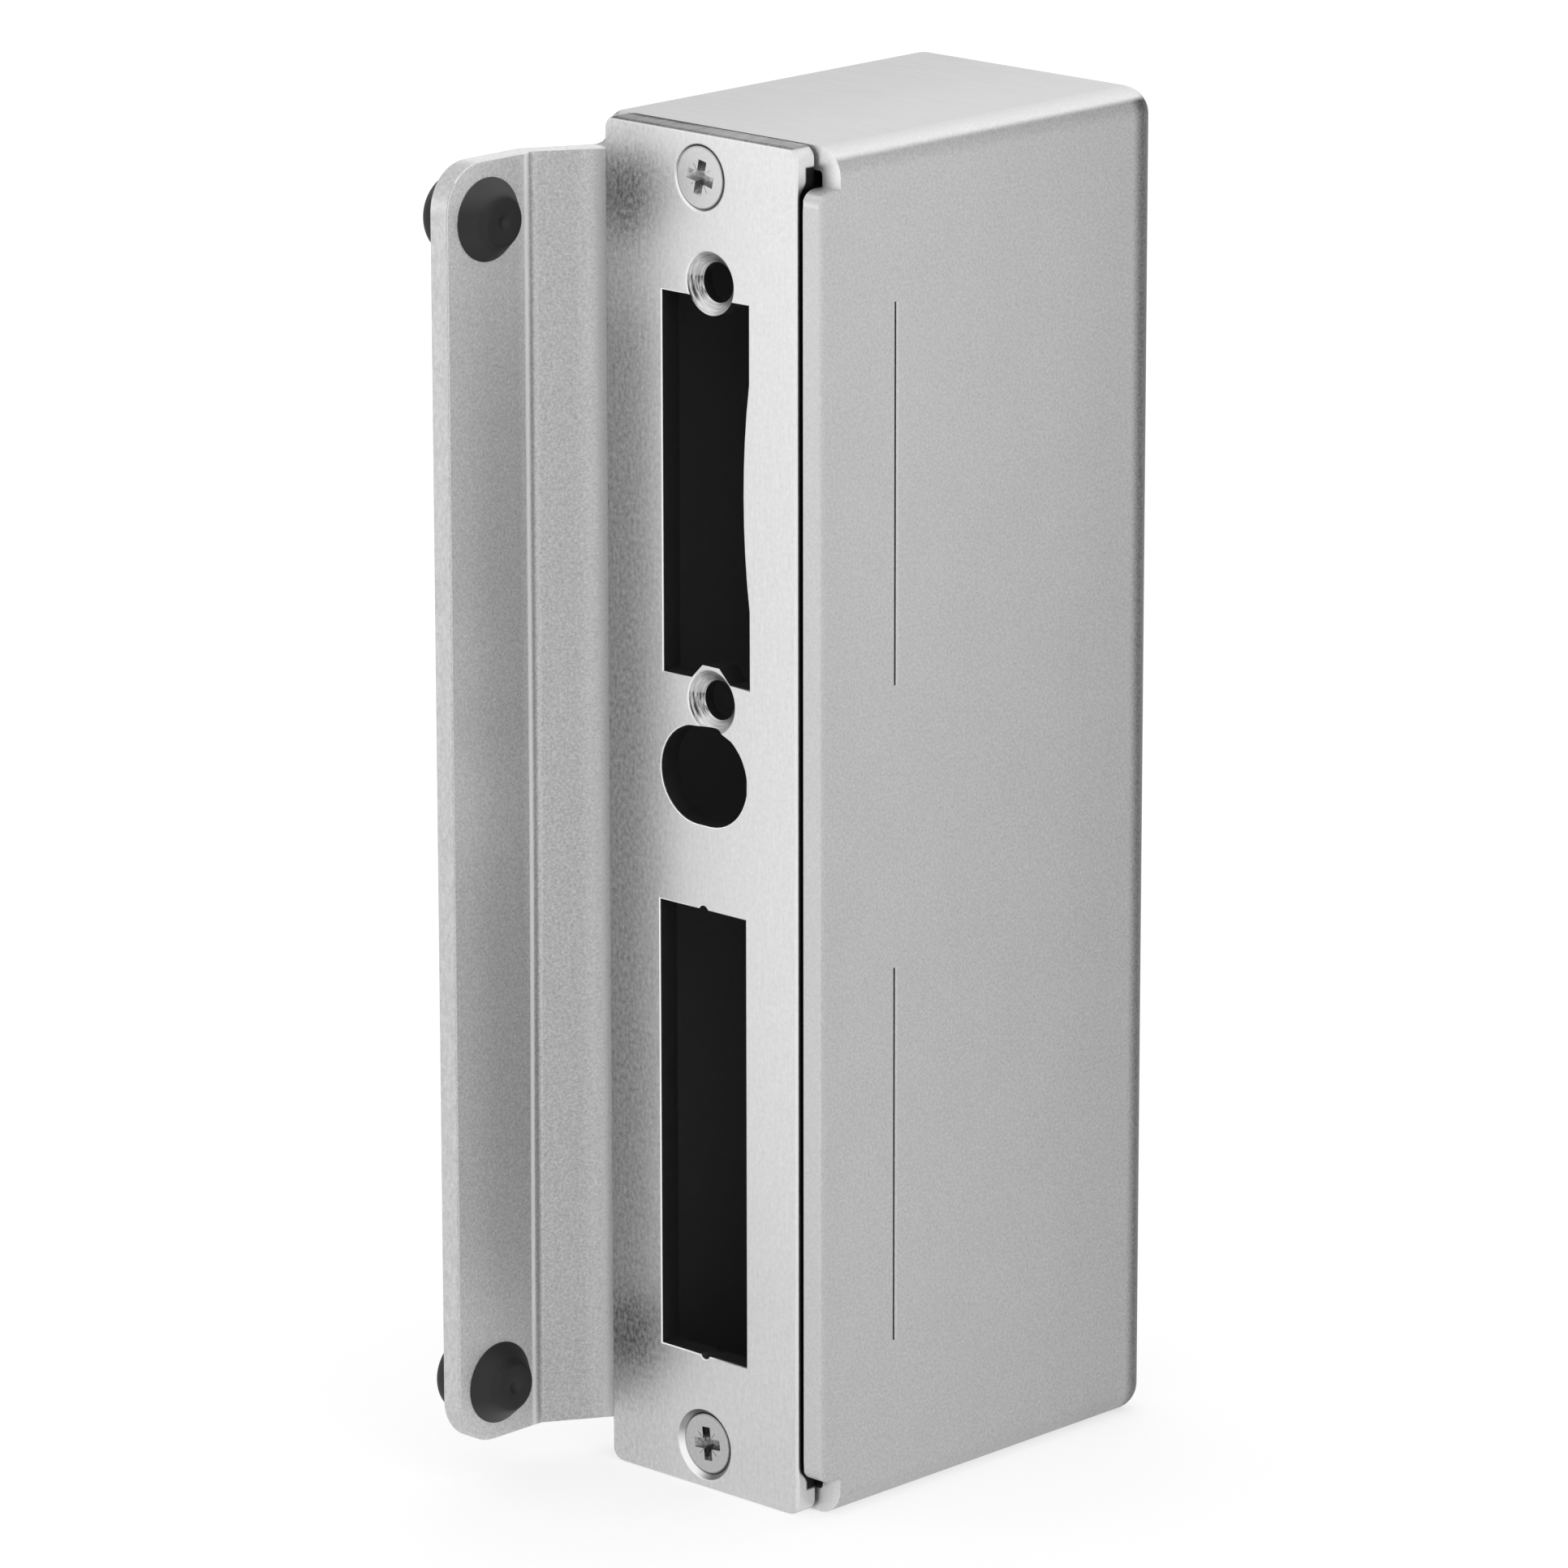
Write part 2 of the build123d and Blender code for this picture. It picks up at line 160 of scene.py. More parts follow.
class Paint:
    """The node tree of one material, or of the world."""

    def __init__(self, owner):
        self.owner = owner
        owner.use_nodes = True
        self.tree = owner.node_tree
        self.tree.nodes.clear()

    def measure(self):
        """Adds the object's coordinates: place in metres, x, y and z in millimetres."""
        self.place = self.node("ShaderNodeTexCoord", {}, {}, "Object")
        node = self.node("ShaderNodeSeparateXYZ", {}, {0: self.place}).socket.node
        self.x, self.y, self.z = (Value(self, output) / MM for output in node.outputs)
        return self

    def node(self, kind, settings, inputs, output=0):
        """Adds a node of a type, makes its settings, then its values and links, and returns an output."""
        node = self.tree.nodes.new(kind)
        for name, setting in settings.items():
            setattr(node, name, setting)
        for name, value in inputs.items():
            socket = node.inputs[name]
            if isinstance(value, Value):
                self.tree.links.new(value.socket, socket)
            elif socket.type == "RGBA":
                socket.default_value = (*value, 1)
            else:
                socket.default_value = value
        return Value(self, node.outputs[output]) if node.outputs else None

    def attribute(self, name):
        """The value that mark has stored on the faces."""
        return self.node("ShaderNodeAttribute", {"attribute_name": name}, {}, "Fac")

    def rise(self, value, start, end):
        """Goes smoothly from 0 to 1 while value goes from start to end."""
        settings = {"interpolation_type": "SMOOTHSTEP", "clamp": True}
        inputs = {"Value": value, "From Min": start, "From Max": end}
        return self.node("ShaderNodeMapRange", settings, inputs)

    def line(self, value, centre, half):
        """1 on a soft line of this half width, 0 beside it."""
        return self.rise(abs(value - centre), half * 1.5, half * 0.5)

    def within(self, value, low, high, soft):
        """1 between two limits, 0 outside them."""
        return self.rise(value, low - soft, low + soft) * self.rise(value, high + soft, high - soft)

    def toward(self, value, mask, target):
        """Value where mask is 0 and target where it is 1."""
        return value + mask * (target - value)

    def pattern(self, place, scale, detail, roughness):
        """Noise from 0 to 1 at a place of its own."""
        inputs = {"Vector": place, "Scale": scale, "Detail": detail, "Roughness": roughness}
        return self.node("ShaderNodeTexNoise", {}, inputs)

    def noise(self, size_mm, detail, stretch=(1, 1, 1), roughness=0.5):
        """Noise from 0 to 1 with lumps of about this size, drawn out along an axis by stretch."""
        scale = tuple(1.0 / s for s in stretch)
        place = self.node("ShaderNodeMapping", {}, {"Vector": self.place, "Scale": scale})
        return self.pattern(place, 1.0 / (size_mm * MM), detail, roughness)

    def around(self, x, low, high):
        """Offsets from the nearer of two holes one above the other, and the distance from its axis."""
        middle = (low + high) / 2
        across = self.x - x
        up = self.z - low - self.rise(self.z, middle - 0.5, middle + 0.5) * (high - low)
        reach = (across * across + up * up) ** 0.5
        return across, up, reach

    def blend(self, mask, colour, other, kind="MIX"):
        """Colour where mask is 0 and other, or their product, where it is 1."""
        settings = {"data_type": "RGBA", "blend_type": kind}
        return self.node("ShaderNodeMix", settings, {0: mask, 6: colour, 7: other}, 2)

    def shade(self, colour, brightness):
        """Colour times a brightness that varies over the surface."""
        grey = self.node("ShaderNodeCombineColor", {}, {0: brightness, 1: brightness, 2: brightness})
        return self.blend(1, colour, grey, "MULTIPLY")

    def bump(self, relief, depth_mm, strength):
        """Normal of a relief that goes from 0 to 1 and is this deep."""
        inputs = {"Height": relief, "Distance": depth_mm * MM, "Strength": strength}
        return self.node("ShaderNodeBump", {}, inputs)

    def surface(self, inputs):
        """Ends the tree in one Principled shader."""
        shader = self.node("ShaderNodeBsdfPrincipled", {}, inputs)
        self.node("ShaderNodeOutputMaterial", {}, {"Surface": shader})
        return self.owner


# Mesh tools


def whole_copy(node_name, piece_name):
    """A merged copy of a CAD node's mesh with whole flat faces, as a new object."""
    work = bmesh.new()
    work.from_mesh(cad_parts[node_name].data)
    bmesh.ops.remove_doubles(work, verts=work.verts, dist=1e-6)
    flat = math.radians(0.3)
    bmesh.ops.dissolve_limit(work, angle_limit=flat, verts=work.verts, edges=work.edges)
    work.verts.index_update()
    points = [vertex.co.copy() for vertex in work.verts]
    faces = [[vertex.index for vertex in face.verts] for face in work.faces]
    work.free()
    mesh = bpy.data.meshes.new(piece_name)
    mesh.from_pydata(points, [], faces)
    return linked(mesh, piece_name)


def linked(mesh, name):
    """New object of a mesh, in the scene."""
    piece = bpy.data.objects.new(name, mesh)
    bpy.context.scene.collection.objects.link(piece)
    return piece


def flattened(piece):
    """Turns an object's evaluated form into its plain mesh and drops its modifiers."""
    graph = bpy.context.evaluated_depsgraph_get()
    evaluated = piece.evaluated_get(graph)
    mesh = bpy.data.meshes.new_from_object(evaluated, preserve_all_data_layers=True, depsgraph=graph)
    piece.modifiers.clear()
    piece.data = mesh
    return piece


def rounded(piece, edge_mm, wanted):
    """Rounds the sharp edges whose middle point, in millimetres, is wanted."""
    work = bmesh.new()
    work.from_mesh(piece.data)
    weight = work.edges.layers.float.new("bevel_weight_edge")
    for edge in work.edges:
        middle = (edge.verts[0].co + edge.verts[1].co) / 2 / MM
        if edge.is_manifold and edge.calc_face_angle() > SHARP and wanted(middle):
            edge[weight] = 1.0
    work.to_mesh(piece.data)
    work.free()
    bevel = piece.modifiers.new("edges", "BEVEL")
    bevel.width = edge_mm * MM
    bevel.segments = 2
    bevel.limit_method = "WEIGHT"
    bevel.use_clamp_overlap = False
    return flattened(piece)


def softened(piece, sharp_angle=SHARP, flat=None):
    """Shades smoothly but for the sharp edges and the faces that pass the flat test."""
    mesh = piece.data
    mesh.shade_smooth()
    mesh.set_sharp_from_angle(angle=sharp_angle)
    if flat:
        for face in mesh.polygons:
            face.use_smooth = not flat(face.normal)
    weighted = piece.modifiers.new("weighted", "WEIGHTED_NORMAL")
    weighted.weight = 100
    weighted.keep_sharp = True
    return flattened(piece)


def mark(piece, name, test, unit=MM):
    """Stores 1 on the faces that pass a test of their centre, in millimetres, and normal, else 0."""
    mesh = piece.data
    values = [1.0 if test(face.center / unit, face.normal) else 0.0 for face in mesh.polygons]
    layer = mesh.attributes.new(name, "FLOAT", "FACE")
    layer.data.foreach_set("value", values)


def outward_mesh(name, points, faces):
    """Mesh of these points and faces, with the faces turned outwards."""
    mesh = bpy.data.meshes.new(name)
    mesh.from_pydata(points, [], faces)
    work = bmesh.new()
    work.from_mesh(mesh)
    bmesh.ops.recalc_face_normals(work, faces=work.faces)
    work.to_mesh(mesh)
    work.free()
    return mesh


def lathe(profile, steps):
    """Mesh of a profile of (along, radius) points turned about the first axis."""
    points, rings = [], []
    for along, radius in profile:
        count = steps if radius else 1
        rings.append([len(points) + k for k in range(count)])
        turns = [2 * math.pi * k / steps for k in range(count)]
        points += [(along, radius * math.cos(t), radius * math.sin(t)) for t in turns]
    faces = []
    for near, far in zip(rings, rings[1:]):
        for k in range(steps):
            around = ((near, k), (near, k + 1), (far, k + 1), (far, k))
            corners = [ring[place % len(ring)] for ring, place in around]
            faces.append(list(dict.fromkeys(corners)))
    return outward_mesh("lathe", points, faces)


def wedge(reach, width, depth, tip_share, foot_share):
    """Tapered wing of a recess, from the axis outwards, in millimetres."""
    mouth = (-0.5, reach + 0.25, width * 1.1)
    foot = (depth, reach * tip_share, width * foot_share)
    corners = []
    for along, far, wide in (mouth, foot):
        side = wide / 2
        corners += [(along, 0, -side), (along, far, -side), (along, far, side), (along, 0, side)]
    faces = [(0, 1, 2, 3), (4, 7, 6, 5), (0, 4, 5, 1), (1, 5, 6, 2), (2, 6, 7, 3), (3, 7, 4, 0)]
    return outward_mesh("wedge", corners, faces)


def repeat_tree():
    """Geometry nodes that repeat a piece along the X axis, with a turn about it at each step."""
    tree = bpy.data.node_groups.new("repeat_along_axis", "GeometryNodeTree")
    kinds = {"Piece": "Object", "Count": "Int", "Step": "Float", "Turn": "Float", "Finish": "Material"}
    for name, kind in kinds.items():
        tree.interface.new_socket(name, in_out="INPUT", socket_type="NodeSocket" + kind)
    tree.interface.new_socket("Geometry", in_out="OUTPUT", socket_type="NodeSocketGeometry")

    def add(kind, links, **settings):
        """Adds a node of a type, its settings and its links."""
        node = tree.nodes.new(kind)
        for key, value in settings.items():
            setattr(node, key, value)
        for key, output in links.items():
            tree.links.new(output, node.inputs[key])
        return node

    given = add("NodeGroupInput", {}).outputs
    offset = add("ShaderNodeCombineXYZ", {"X": given["Step"]})
    line = add("GeometryNodeMeshLine", {"Count": given["Count"], "Offset": offset.outputs[0]})
    index = add("GeometryNodeInputIndex", {})
    turned = add("ShaderNodeMath", {0: index.outputs[0], 1: given["Turn"]}, operation="MULTIPLY")
    rotation = add("ShaderNodeCombineXYZ", {"X": turned.outputs[0]})
    shape = add("GeometryNodeObjectInfo", {"Object": given["Piece"]})
    copies = add(
        "GeometryNodeInstanceOnPoints",
        {"Points": line.outputs[0], "Instance": shape.outputs["Geometry"], "Rotation": rotation.outputs[0]},
    )
    whole = add("GeometryNodeRealizeInstances", {"Geometry": copies.outputs[0]})
    finish = add("GeometryNodeSetMaterial", {"Geometry": whole.outputs[0], "Material": given["Finish"]})
    add("NodeGroupOutput", {"Geometry": finish.outputs[0]})
    return tree


def repeated(tree, name, mesh, count, step, turn, finish):
    """Plain mesh object of a mesh repeated by the tree."""
    shape = linked(mesh, name + "_one")
    holder = linked(bpy.data.meshes.new(name), name)
    modifier = holder.modifiers.new("repeat", "NODES")
    modifier.node_group = tree
    values = {"Piece": shape, "Count": count, "Step": step, "Turn": turn, "Finish": finish}
    for item in tree.interface.items_tree:
        if item.in_out == "INPUT":
            modifier[item.identifier] = values[item.name]
    flattened(holder)
    bpy.data.objects.remove(shape)
    return holder


def joined(piece, other):
    """Adds another object's mesh to a piece and drops the object."""
    work = bmesh.new()
    work.from_mesh(piece.data)
    work.from_mesh(other.data)
    work.to_mesh(piece.data)
    work.free()
    bpy.data.objects.remove(other)


def dress(piece, material, node):
    """Gives a piece its material and lets it stand for a CAD node."""
    piece.data.materials.clear()
    piece.data.materials.append(material)
    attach(piece, "root")
    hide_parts(node)


# Sizes and colours that a user would change


def grey(name, description, level):
    """Colour property with a grey default."""
    return bpy.props.FloatVectorProperty(
        name=name, description=description, subtype="COLOR", size=3, default=(level,) * 3, min=0, max=1
    )


def share(name, description, default):
    """Property that goes from 0 to 1."""
    return bpy.props.FloatProperty(
        name=name, description=description, subtype="FACTOR", default=default, min=0, max=1
    )


def length(name, description, default_mm, low_mm, high_mm):
    """Length property, given in millimetres and kept in metres."""
    return bpy.props.FloatProperty(
        name=name,
        description=description,
        unit="LENGTH",
        precision=5,
        default=default_mm * MM,
        min=low_mm * MM,
        max=high_mm * MM,
    )


def angle(name, description, degrees):
    """Angle property, given in degrees."""
    return bpy.props.FloatProperty(
        name=name, description=description, subtype="ANGLE", default=math.radians(degrees)
    )


def power(name, description, watts):
    """Power property of a lamp."""
    return bpy.props.FloatProperty(
        name=name, description=description, subtype="POWER", default=watts, min=0
    )


class SheetFinish(bpy.types.PropertyGroup):
    """Blasted steel of the housing"""

    colour: grey("Sheet colour", "Colour of the blasted faces", 0.43)
    cut_colour: grey("Cut colour", "Colour of the cut edges", 0.62)
    # Painted shade: the unlit inner faces are given this dark colour.
    inside_colour: grey("Inside colour", "Colour of the unlit inner faces", 0.17)
    grain: length("Grain", "Size of the blasted grain", 0.34, 0.05, 2.0)
    contrast: share("Grain contrast", "How much the grain varies the colour", 0.9)
    roughness: share("Roughness", "How matt the blasted faces are", 0.5)


class PlateFinish(bpy.types.PropertyGroup):
    """Plated steel of the strike plate"""

    colour: grey("Plate colour", "Colour of the plated face", 0.705)
    # Painted reflection: colour of the darker, mottled band along the plate's left side where the flange is
    # mirrored.
    reflection_colour: grey("Reflection colour", "Colour of the mottled band along one side", 0.5)
    # Painted shade: the opening walls are coloured dark, and the flank in the gap near black.
    cut_colour: grey("Opening wall colour", "Colour of the walls of the openings", 0.14)
    # Painted highlight on the rims of the openings and along the plate's right edge.
    rim_highlight_colour: grey("Rim colour", "Colour of the bright edges", 0.92)
    roughness: share("Roughness", "How matt the plating is", 0.38)


class ScrewShape(bpy.types.PropertyGroup):
    """Countersunk screws of the plate"""

    recess_radius: length("Recess reach", "Reach of a wing of the cross recess", 2.3, 0.5, 3.5)
    recess_width: length("Wing width", "Width of a wing", 1.3, 0.2, 2.0)
    recess_depth: length("Recess depth", "Depth of the cross recess", 1.5, 0.2, 1.9)
    pitch: length("Thread pitch", "Distance between two thread ridges", 0.7, 0.2, 2.0)
    top_turn: angle("Top screw turn", "Turn of the top screw's cross", 12)
    bottom_turn: angle("Bottom screw turn", "Turn of the bottom screw's cross", -6)
    colour: grey("Screw colour", "Colour of the plated screws", 0.65)


class BufferShape(bpy.types.PropertyGroup):
    """Rubber buffers of the stop flange"""

    head_radius: length("Head radius", "Radius of the outer head", 5.1, 3.5, 5.1)
    nose_radius: length("Nose radius", "Radius of the nose at the flange", 5.2, 3.5, 5.2)
    tip_radius: length("Tip radius", "Radius of the nose's flat tip", 2.95, 1.0, 4.5)
    colour: grey("Rubber colour", "Colour of the rubber", 0.013)


class BlockFinish(bpy.types.PropertyGroup):
    """Machined steel of the threaded blocks"""

    colour: grey("Block colour", "Colour of the threaded blocks", 0.3)


class StageLook(bpy.types.PropertyGroup):
    """Camera, lamps and floor"""

    lens: bpy.props.FloatProperty(
        name="Lens", description="Focal length", default=206.0, unit="CAMERA", min=20, max=400
    )
    azimuth: angle("Azimuth", "Turn of the camera round the box", 43.63)
    elevation: angle("Elevation", "Height of the camera over the horizon", 15.0)
    roll: angle("Roll", "Roll of the camera", -0.08)
    distance: bpy.props.FloatProperty(
        name="Distance",
        description="From the aimed point to the camera",
        unit="LENGTH",
        default=1.0979,
        min=0.2,
    )
    aim: bpy.props.FloatVectorProperty(
        name="Aim",
        description="Point that the camera looks at",
        subtype="XYZ",
        size=3,
        default=(0.00727, -0.02357, 0.09097),
    )
    world: bpy.props.FloatProperty(
        name="Surround", description="Brightness of the surround", default=0.7, min=0.0, max=3.0
    )
    front_lamp: power("Front lamp", "Power of the front lamp", 0.9)
    side_lamp: power("Side lamp", "Power of the side lamp", 0.6)
    top_lamp: power("Top lamp", "Power of the top lamp", 0.9)
    floor_colour: grey("Floor colour", "Colour of the floor", 0.62)
    floor_glow: share("Floor glow", "How much the floor shines by itself where it is seen", 0.6)


# Materials

# Places are in millimetres. A tone is a brightness, and 1 leaves the colour as it is.


def flange_tone(paint):
    """Painted light and shade of the flange's inner side: panel shade, a lit slope behind its bend, bend
    highlights, a root shadow.
    """
    y, z = paint.y, paint.z
    ends = paint.rise(abs(z - MIDDLE_Z), 42, 76)
    # Painted shade: the panel darkens behind its front edge, less towards its ends, and is lighter higher
    # up and just before the bend.
    panel_shade = paint.rise(y, FLANGE_FRONT + 0.5, FLANGE_FRONT + 8.5)
    panel = 1.8 - panel_shade * (0.32 - 0.2 * ends) + 0.22 * paint.rise(z, 95, 150)
    panel = panel + paint.rise(y, FLANGE_BEND - 2.8, FLANGE_BEND - 1.2) * 0.28 * paint.rise(z, 40, 90)
    # Painted light on the slope behind the bend, a little stronger higher up and strongest near the root.
    slope = 1.23 + 0.06 * paint.rise(z, 60, 160)
    slope = slope + 0.35 * paint.rise(y, FLANGE_BEND + 4.0, FLANGE_BEND + 7.0)
    slope = slope + 0.7 * paint.rise(y, FLANGE_BEND + 6.2, FLANGE_BEND + 7.4)
    tone = paint.toward(panel, paint.rise(y, FLANGE_BEND - 0.1, FLANGE_BEND + 0.1), slope)
    bend = bend_place(paint)
    # Painted highlights: a bright glint and two fainter lines along the bend.
    tone = paint.toward(tone, bend_glint(paint), 2.8)
    tone = paint.toward(tone, paint.line(bend, 0.4, 0.24), 1.4)
    tone = paint.toward(tone, paint.line(bend, -0.1, 0.24), 1.25)
    # Painted shadow at the root beside the plate, deepest at the top.
    root = paint.rise(y, PLATE_FRONT + 2.1, PLATE_FRONT + 2.6)
    return paint.toward(tone, root, 1.3 - 0.3 * paint.rise(z, 20, 120))


def bend_place(paint):
    """Distance behind the flange's bend, whose lines run slightly forward to the bottom."""
    return paint.y - FLANGE_BEND + 0.4 * paint.rise(paint.z, 90, 10)


def bend_glint(paint):
    """1 on the painted highlight along the flange's bend."""
    return paint.line(bend_place(paint), -0.95, 0.32)


def wall_tone(paint):
    """Painted light and shade of the right wall: lighter at the top and front, highlights by the slits and
    the front edge, shade round the back bend.
    """
    y, z = paint.y, paint.z
    high = paint.rise(z, 60, 165)
    # Painted light: lighter towards the front and the top, with a light line along the front edge.
    tone = 0.96 + paint.rise(y, WALL_BACK - 3.5, PLATE_FRONT + 3.5) * 0.14
    tone = tone + paint.rise(y, WALL_BACK - 4.5, WALL_BACK - 22.5) * 0.05 + high * 0.1
    tone = tone + paint.rise(y, PLATE_FRONT + 1.0, PLATE_FRONT + 0.4) * 0.05
    # Painted highlights beside the slits.
    beside = paint.line(y, SLIT + 0.42, 0.16)
    for low, top in SLIT_ENDS:
        tone = tone + beside * paint.within(z, low, top, 0.2) * 0.16
    # Painted shade round the back bend, reaching further forward higher up.
    back = y + paint.rise(z, 20, 160) * 0.5 - 0.2
    rim = paint.rise(back, WALL_BACK - 4.9, WALL_BACK - 2.8)
    return paint.toward(tone, rim * paint.rise(y, WALL_BACK - 0.5, WALL_BACK - 1.1), 0.37)


def top_tone(paint, streaks):
    """Brightness of the top face, a painted light that grows towards the right, with fine streaks across
    it.
    """
    return 1.1 + paint.rise(paint.x, -WALL_INNER, WALL_INNER) * 0.14 + (streaks - 0.5) * 0.2


def bend_light(paint):
    """1 in the middle of the bend between the top and the right wall, 0 on the flat faces; it places a
    painted highlight and shade.
    """
    right = (paint.x - (WALL_OUTER - BEND_RADIUS)).larger(0)
    above = (paint.z - (TOP_Z - BEND_RADIUS)).larger(0)
    return (right * above * (2 / BEND_RADIUS ** 2)).smaller(1)


def cut_edge_tone(paint, right, flecks):
    """Brightness of the cut edges: flecked on the flange, clean on the lip and lighter higher up on it,
    with a painted highlight at its corners.
    """
    # Painted highlight on the cut faces at the lip's top and bottom corners, brighter at the top.
    corner = paint.rise(paint.x, WALL_INNER - 3, WALL_INNER - 2.5)
    corner = corner * paint.rise(abs(paint.z - MIDDLE_Z), MIDDLE_Z - 6, MIDDLE_Z - 4.5)
    tone = 0.9 + right * 0.06 * paint.rise(paint.z, 10, 60)
    tone = tone + corner * (0.25 + 0.3 * paint.rise(paint.z, 10, TOP_Z - 10))
    return tone + (flecks - 0.5) * 0.45 * (1 - right)


def sheet_material(finish):
    """Blasted sheet with bright cut edges, painted light and shade, a dark-painted unlit inside and a matt
    flange panel.
    """
    paint = Paint(bpy.data.materials.new("blasted_sheet")).measure()
    inside, cut, panel = (paint.attribute(name) for name in ("inside", "cut", "panel"))
    grain = paint.noise(finish.grain / MM, 3.0, roughness=0.7)
    cloud = paint.noise(9.0, 3.0)
    streaks = paint.noise(0.45, 2.0, stretch=(16, 1, 1))
    flecks = paint.noise(0.5, 2.0, stretch=(1, 1, 2), roughness=0.7)
    top = paint.rise(paint.z, TOP_Z - 1.3, TOP_Z - 0.1)
    right = paint.rise(paint.x, WALL_INNER - 0.2, WALL_INNER + 0.1)
    tone = paint.toward(1.0, right, wall_tone(paint))
    tone = paint.toward(tone, panel, flange_tone(paint))
    tone = paint.toward(tone, top, top_tone(paint, streaks))
    # Painted highlight along the upper part of the bend between the top and the right wall, and painted
    # shade on its lower part.
    bend = bend_light(paint)
    light = bend * paint.rise(paint.z, TOP_Z - 1.7, TOP_Z - 1.0)
    tone = paint.toward(tone, light, 1.95) - (bend - light) * 0.2
    speckle = (grain - 0.5) * finish.contrast * (1 - 0.6 * top + 0.9 * panel) + (cloud - 0.5) * 0.06
    colour = paint.shade(finish.colour, tone + speckle)
    cut_tone = cut_edge_tone(paint, right, flecks) + speckle * 0.5
    colour = paint.blend(cut, colour, paint.shade(finish.cut_colour, cut_tone))
    # Painted shade: the inner faces get the dark inside colour.
    colour = paint.blend(inside, colour, finish.inside_colour)
    # Less metal on the bend glint and on the slope near the root, so that this painted light reads
    # brighter.
    root = paint.within(paint.y, FLANGE_BEND + 6.8, FLANGE_BEND + 8.3, 0.5)
    matt = (bend_glint(paint) + root * paint.rise(paint.z, 20, 150)).smaller(1)
    return paint.surface({
        "Base Color": colour,
        "Metallic": 1 - inside * 0.8 - panel * (0.35 + 0.6 * matt),
        "Roughness": finish.roughness + (grain - 0.5) * 0.2 - cut * 0.08 + inside * 0.3,
        "Normal": paint.bump(grain * 0.8 + streaks * top * 0.5, 0.02, 0.35),
    })


def plate_tone(paint):
    """Brightness of the plate's face: painted light that grows from the bottom to the top."""
    return 0.87 + paint.rise(paint.z, -5, 75) * 0.16 + paint.rise(paint.z, 110, 165) * 0.02


def reflection_band(paint, cloud, spangle):
    """Share and brightness of the painted reflection of the flange along the plate's left side, mottled by
    the plating's spangle.
    """
    wander = (cloud - 0.5) * 4
    inset = paint.within(paint.z, 8, TOP_Z - 3.5, 2.5)
    share = paint.rise(paint.x + wander, -1.5, -13.5) * (0.5 + 0.5 * inset)
    # Darker patches of the painted reflection near the bottom and the top.
    patches = paint.within(paint.z, 13.5, 22, 2.5) + paint.within(paint.z, TOP_Z - 15, TOP_Z - 5, 3)
    patch = patches * paint.rise(paint.x + wander, -7, -12)
    along = paint.within(paint.z, 18, TOP_Z - 24, 6)
    tone = 1 - along * 0.2 - patch * 0.13 + (spangle - 0.5) * (1.5 + 1.0 * patch)
    return share, tone


def sink_tone(paint):
    """Brightness of the turned countersinks: fine rings, with painted shade to the left, painted light
    below and a painted highlight round the edge.
    """
    across, up, reach = paint.around(STRIKE_X, STRIKE_LOW, STRIKE_HIGH)
    along, above = across / reach, up / reach
    place = paint.node("ShaderNodeCombineXYZ", {}, {0: reach * 5, 1: along, 2: above})
    rings = paint.pattern(place, 1.0, 3.0, 0.65)
    left = paint.rise(along, -0.55, -0.9) * paint.rise(above, 0.25, 0.1)
    below = paint.rise(above, -0.3, -0.8)
    tone = 0.48 + 0.26 * below - 0.18 * left + (rings - 0.5) * (1.2 + 2.0 * left)
    # Painted highlight round the countersink's outer edge, weaker below.
    outline = paint.rise(reach, SINK_REACH - 0.45, SINK_REACH - 0.35)
    return paint.toward(tone, outline * (1 - below * 0.5), 0.85).larger(0.05)


def seat_tone(paint):
    """Brightness of the screws' countersinks, all painted light and shade: light at the lower left, dark
    elsewhere.
    """
    across, up, reach = paint.around(0, SCREW_LOW, SCREW_HIGH)
    lower_left = paint.rise((across * 0.75 + up * 0.66) / reach, -0.45, -0.95)
    upper_right = paint.rise((across * 0.4 + up) / reach, 0.2, 0.9)
    return 0.32 + lower_left * 0.6 - upper_right * 0.24


def top_strip_tone(paint, cross):
    """Brightness of the plate's top edge: brushed across, a little lighter on the right half, with painted
    shade at the front and a painted gap shadow at the back left.
    """
    right_half = paint.rise(paint.x, -6, 2)
    tone = 0.27 + right_half * 0.07 + (cross - 0.5) * 0.4
    # Painted shadow of the gap behind the plate on the left half, and painted shade along the front edge.
    tone = tone - paint.rise(paint.y, PLATE_BACK - 0.7, PLATE_BACK - 0.3) * 0.17 * (1 - right_half)
    return tone - paint.rise(paint.y, PLATE_FRONT + 0.7, PLATE_FRONT + 0.4) * 0.06


def gap_flank(paint):
    """1 on the plate's right flank, in the dark gap beside the housing's lip, where a painted shadow goes.
    """
    notch = 1 - paint.within(paint.z, 5, TOP_Z - 5, 1)
    flank = paint.rise(paint.x, PLATE_RIGHT - 0.15, PLATE_RIGHT - 0.05)
    flank = flank * paint.rise(paint.y - notch * 1.1, PLATE_FRONT + 0.25, PLATE_FRONT + 0.6)
    return flank * paint.within(paint.z, 3.1, TOP_Z - 2.4, 0.2)


